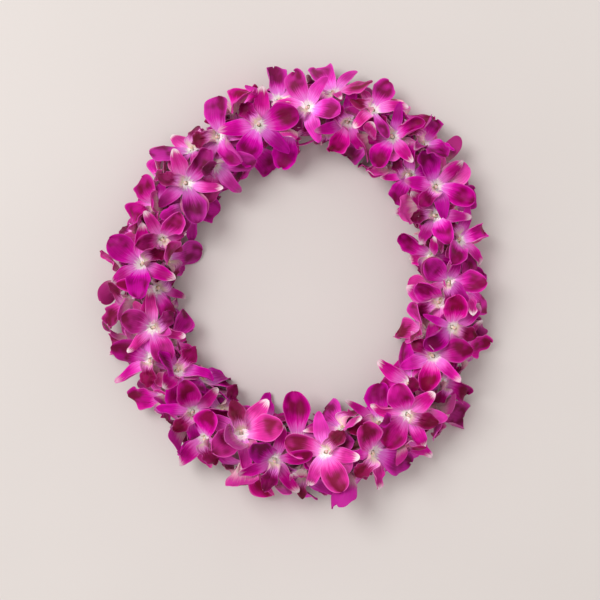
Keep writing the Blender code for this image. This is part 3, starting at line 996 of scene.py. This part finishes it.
# %% [markdown]
# ## Keep the blades apart
#
# Real petals bend aside where they meet. So the blades are shaped one by one, the uppermost blooms
# first. Each takes its full relief if that is clear of the earlier ones, and otherwise less, relief to
# the other side, or a slimmer shape. Trees of their faces tell quickly whether two blades cross.

# %% Shape each blade clear of the others
CALM_TRIES = ((1.0, 1.0), (-0.75, 1.0), (0.65, 1.0), (-0.4, 1.0), (0.3, 1.0), (0.0, 1.0))
SLIM_TRIES = ((0.5, 0.85), (-0.4, 0.85), (0.0, 0.85), (0.3, 0.7), (0.0, 0.7), (0.0, 0.55))
CLEAR_FROM = 0.2
NEAR = 75 * MM


def tree_of(bm, start):
    """A tree of a part's faces that lie past a share of its length, with the box round them."""
    place, _ = marks(bm)
    bm.verts.index_update()
    faces = [
        [vert.index for vert in face.verts]
        for face in bm.faces
        if min(vert[place].x for vert in face.verts) >= start
    ]
    points = np.array([vert.co for vert in bm.verts])
    used = points[sorted({index for face in faces for index in face})]
    return BVHTree.FromPolygons(points.tolist(), faces), used.min(axis=0), used.max(axis=0)


def near_to(point, kept):
    """The trees that lie near a point, with their boxes' low and high corners as two arrays."""
    lows, highs = np.array([part[1] for part in kept]), np.array([part[2] for part in kept])
    near = np.flatnonzero(np.linalg.norm((lows + highs) / 2 - np.array(point), axis=1) < NEAR)
    return [kept[index][0] for index in near], lows[near], highs[near]


def crossings(part, others):
    """How many pairs of faces cross between a part and the other ones."""
    tree, low, high = part
    trees, lows, highs = others
    meeting = np.flatnonzero(((lows < high) & (low < highs)).all(axis=1))
    return sum(len(tree.overlap(trees[index])) for index in meeting)


def fitted(bloom, kind, tries, kept):
    """The first of a blade's tries that is clear of the others, or the one that crosses them least."""
    near = near_to(bloom.centre(bloom.height), kept)
    best = None
    for pose, calm, slim in tries:
        bm = blade_part(bloom, kind, pose, calm, slim)
        part = tree_of(bm, CLEAR_FROM)
        count = crossings(part, near)
        if best is None or count < best[0]:
            best, bm = (count, calm, bm, part), best and best[2]
        if bm:
            bm.free()
        if count == 0:
            break
    return best


def shape_blades(kept):
    """Every blade with as much relief as its neighbours leave it, the uppermost blooms first."""
    shaped, taken, crossed = {}, [], 0
    for bloom, kind in product(downwards, BLADE_KINDS):
        if kind.name in bloom.poses:
            tries = [(bloom.poses[kind.name], *amounts) for amounts in CALM_TRIES + SLIM_TRIES]
            count, calm, shaped[bloom.number, kind.name], part = fitted(bloom, kind, tries, kept)
            kept.append(part)
            taken.append(abs(calm))
            crossed += count > 0
    print("mean share of relief:", round(sum(taken) / len(taken), 2), "blades that touch:", crossed)
    return shaped


downwards = sorted(blooms, key=lambda bloom: -bloom.centre(bloom.height).z)
kept_trees = [tree_of(neck_part(bloom), 0.0) for bloom in blooms]
kept_trees += [tree_of(base_part(pair), 0.0) for pair in zip(blooms[::2], blooms[1::2])]
shaped_blades = shape_blades(kept_trees)

# %% [markdown]
# Leis are packed so tightly that no string shows. Small blades fill the gaps, wherever one fits: first
# those that the plain solids left out, then a lower whorl on each neck, turned to show between the rest.

# %% Small petals in the gaps
SMALL_POSES = tuple(product((1.0, 0.8, 0.6), (0, 20, -20, 40), (0, 24, -24)))
SMALL_CALM = 0.4
SMALL_SLIM = 1.1
WHORL_HEIGHT = 0.6
WHORL_TURN = math.radians(30)


def lower_whorl(bloom):
    """A second whorl lower on a bloom's neck, turned to face the gaps of the first."""
    height = bloom.height * WHORL_HEIGHT
    return replace(bloom, number=bloom.number + len(blooms), up=bloom.around(WHORL_TURN), height=height)


def fill_gaps():
    """Small blades wherever one fits: those that the solids leave out, and the lower whorls."""
    every = product(downwards, BLADE_KINDS)
    wanted = [(bloom, kind) for bloom, kind in every if kind.name not in bloom.poses]
    wanted += [(lower_whorl(bloom), kind) for bloom, kind in product(downwards, BLADE_KINDS[1:])]
    added = 0
    for bloom, kind in wanted:
        tries = [(pose, SMALL_CALM, SMALL_SLIM) for pose in SMALL_POSES]
        count, _, bm, part = fitted(bloom, kind, tries, kept_trees)
        if count == 0:
            shaped_blades[bloom.number, kind.name] = bm
            kept_trees.append(part)
            added += 1
    print("small blades in the gaps:", added, "of", len(wanted))


fill_gaps()

# %% [markdown]
# ## Put the flowers together
#
# Each pair of blooms becomes one piece, which stands for the plain solid of the same pair. The base is
# added first, then each bloom's turned neck and its blades, each with its finish.

# %% Build the pieces
SHARP_ANGLE = math.radians(62)
FINISHES = {"petal": 0, "sepal": 1, "lip": 2, "neck": 3, "inner": 4}


def finish_piece(name, bm, materials, node):
    """Makes a piece of a mesh, in place of a plain solid."""
    mesh = bpy.data.meshes.new(name)
    bm.to_mesh(mesh)
    bm.free()
    for material in materials:
        mesh.materials.append(material)
    mesh.set_sharp_from_angle(angle=SHARP_ANGLE)
    piece = bpy.data.objects.new(name, mesh)
    bpy.context.scene.collection.objects.link(piece)
    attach(piece, "root")
    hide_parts(node)
    return piece


def flower_pair(number, pair):
    """Two blooms on their shared base."""
    bm = new_part()
    add_part(bm, base_part(pair), FINISHES["neck"])
    for bloom in pair:
        add_part(bm, neck_part(bloom), FINISHES["neck"])
        for level, kind in product((0, 1), BLADE_KINDS):
            blade = shaped_blades.get((bloom.number + level * len(blooms), kind.name))
            if blade:
                add_part(bm, blade, FINISHES["inner" if level else kind.name.split("_")[0]])
    materials = (petal_finish, sepal_finish, lip_finish, neck_finish, inner_shade_lifted_finish)
    return finish_piece(f"orchids_{number:02d}", bm, materials, f"blooms_{number:02d}")


pieces = [flower_pair(index + 1, pair) for index, pair in enumerate(zip(blooms[::2], blooms[1::2]))]
faces = sum(len(polygon.vertices) - 2 for piece in pieces for polygon in piece.data.polygons)
print("flower pieces:", len(pieces), "triangles:", faces)

# %% [markdown]
# ## The cotton string
#
# Three strands are twisted into a string of just over a millimetre. A long grid is rolled up along the
# string's route, with a three-lobed cross section that turns as it goes. The knot is a rope in the
# shape of an overhand knot, and its two tails end in a little fray.

# %% Roll a grid up along a route
STRING_RADIUS = 0.6 * MM
TWIST_PITCH = 4.5 * MM
LOBE_DEPTH = 0.20


def rolled(bm, route, rings, sides, section, closed):
    """A tube along a route: route(share) gives a point and two cross directions."""
    start = set(bm.verts)
    bmesh.ops.create_grid(bm, x_segments=rings, y_segments=sides, size=1)
    fresh = [vert for vert in bm.verts if vert not in start]
    places = {}
    for vert in fresh:
        step = round((vert.co.x + 1) / 2, 6)
        if step not in places:
            places[step] = route(step)
        point, first, second = places[step]
        angle = (vert.co.y + 1) * math.pi
        radius = section(step, angle)
        vert.co = point + radius * (math.cos(angle) * first + math.sin(angle) * second)
    bmesh.ops.remove_doubles(bm, verts=fresh, dist=0.005 * MM)
    if not closed:
        bmesh.ops.holes_fill(bm, edges=[edge for edge in bm.edges if edge.is_boundary], sides=0)


def string_route(share):
    """The string's line at a share of its length, with its cross directions."""
    place = share * PAIR_COUNT
    index = int(place) % PAIR_COUNT
    start, end = corners[index], corners[(index + 1) % PAIR_COUNT]
    return start.lerp(end, place - int(place)), UP, (end - start).normalized().cross(UP)


def strands(step, angle):
    """Three lobes that turn along the string."""
    turns = round(STRING_LENGTH / TWIST_PITCH)
    lobe = abs(math.cos(1.5 * (angle - math.tau * turns * step)))
    return STRING_RADIUS * (1 - LOBE_DEPTH + LOBE_DEPTH * lobe)


print("the strands turn", round(STRING_LENGTH / TWIST_PITCH), "times")

# %% Knot and tails
KNOT_SIZE = 0.42 * MM
TAIL_STEPS = (2.4 * MM, 4.8 * MM, 4.8 * MM)
TAIL_SPREAD = 0.5
TAIL_DROP = 0.6
TAIL_SAG = 0.35
KNOT_RADIUS = 1.7 * MM
KNOT_ROPE = 0.48 * MM
TAIL_STRAND = 0.27 * MM
KNOT_ALONG = (corners[1] - corners[-1]).normalized()


def knot_route(share):
    """An overhand knot, flattened along the string."""
    turn_angle = math.tau * share

    def point(angle):
        x = math.sin(angle) + 2 * math.sin(2 * angle)
        y = math.cos(angle) - 2 * math.cos(2 * angle)
        z = -1.3 * math.sin(3 * angle)
        return corners[0] + KNOT_SIZE * (x * UP + y * KNOT_ALONG.cross(UP) + z * KNOT_ALONG)

    heading = (point(turn_angle + 0.01) - point(turn_angle - 0.01)).normalized()
    first = heading.cross(KNOT_ALONG).normalized()
    return point(turn_angle), first, heading.cross(first)


def tail_points(way):
    """The bends of one tail, which hangs inwards and down between the blooms."""
    inward = UP.cross(KNOT_ALONG)
    heading = (way * TAIL_SPREAD * KNOT_ALONG + TAIL_DROP * (inward - UP)).normalized()
    points = [corners[0] + heading * KNOT_RADIUS / 2]
    for step in TAIL_STEPS:
        points.append(points[-1] + heading * (step + (KNOT_RADIUS / 2 if len(points) == 1 else 0)))
        heading = (heading - TAIL_SAG * UP).normalized()
    return points


def tail_route(points, strand):
    """One of a tail's three strands, which part a little at the end."""

    def route(share):
        place = min(share * (len(points) - 1), len(points) - 1.001)
        index = int(place)
        point = points[index].lerp(points[index + 1], place - index)
        heading = (points[index + 1] - points[index]).normalized()
        first = heading.cross(KNOT_ALONG).normalized()
        second = heading.cross(first)
        angle = math.tau * (strand / 3 + 2.2 * share)
        spread = TAIL_STRAND * (1 + 1.6 * smooth(share, 0.72, 1.0))
        centre = point + spread * (math.cos(angle) * first + math.sin(angle) * second)
        return centre, first, second

    return route


def build_string():
    """The string, its knot and its tails in one piece."""
    bm = bmesh.new()
    rolled(bm, string_route, 968, 9, strands, True)
    rolled(bm, knot_route, 96, 8, lambda step, angle: KNOT_ROPE, True)
    for way in (-1, 1):
        points = tail_points(way)
        for strand in range(3):
            rolled(bm, tail_route(points, strand), 20, 6, lambda step, angle: TAIL_STRAND, False)
    bmesh.ops.recalc_face_normals(bm, faces=bm.faces)
    for face in bm.faces:
        face.smooth = True
    return bm


print("each tail:", round((sum(TAIL_STEPS) + KNOT_RADIUS / 2) * 1000, 1), "mm")

# %% Cotton finish
COTTON_GROOVE_SHADE = (0.58, 0.53, 0.42, 1)
COTTON_LIGHT = (0.86, 0.83, 0.74, 1)
COTTON_STAIN = (0.70, 0.46, 0.50, 1)


def build_cotton():
    """Undyed cotton: cream, matt and fuzzy, with painted shade that darkens the grooves between its
    fibres.
    """
    made, tree, sockets = new_finish("undyed_cotton", 0.85, 0.2)
    fibres = noise(tree, in_place(tree), 2600.0, 3.0)
    stains = noise(tree, in_place(tree), 160.0, 2.0)
    # Painted shade: the fibre noise, which also makes the bump, is darker where it is low, in the
    # grooves.
    colour = mix(tree, between(tree, fibres, 0.3, 0.7), COTTON_GROOVE_SHADE, COTTON_LIGHT)
    stained = mix(tree, between(tree, stains, 0.5, 0.75, 0, 0.3), colour, COTTON_STAIN)
    feed(tree, sockets["Base Color"], stained)
    sockets["Sheen Weight"].default_value = 0.3
    bump(tree, sockets, fibres, 0.15 * MM, 0.7)
    return made


string_piece = finish_piece("cotton_string", build_string(), (build_cotton(),), "string")
print("string faces:", len(string_piece.data.polygons))

# %% [markdown]
# ## The floor
#
# A plain pale floor, wide enough for every view, with the faintest unevenness in its colour.

# %% Floor
FLOOR_SIZE = 12.0
FLOOR_COLOURS = ((0.70, 0.665, 0.645, 1), (0.72, 0.685, 0.665, 1))


def build_floor():
    """A pale plane just under the lei."""
    bm = bmesh.new()
    bmesh.ops.create_grid(bm, x_segments=1, y_segments=1, size=FLOOR_SIZE)
    mesh = bpy.data.meshes.new("floor")
    bm.to_mesh(mesh)
    bm.free()
    made, tree, sockets = new_finish("pale_floor", 0.6, 0.3)
    clouds = noise(tree, in_place(tree), 3.0, 3.0)
    colour = mix(tree, between(tree, clouds, 0.3, 0.7), *FLOOR_COLOURS)
    feed(tree, sockets["Base Color"], colour)
    mesh.materials.append(made)
    floor = bpy.data.objects.new("floor", mesh)
    bpy.context.scene.collection.objects.link(floor)
    print("floor:", 2 * FLOOR_SIZE, "m wide")


build_floor()
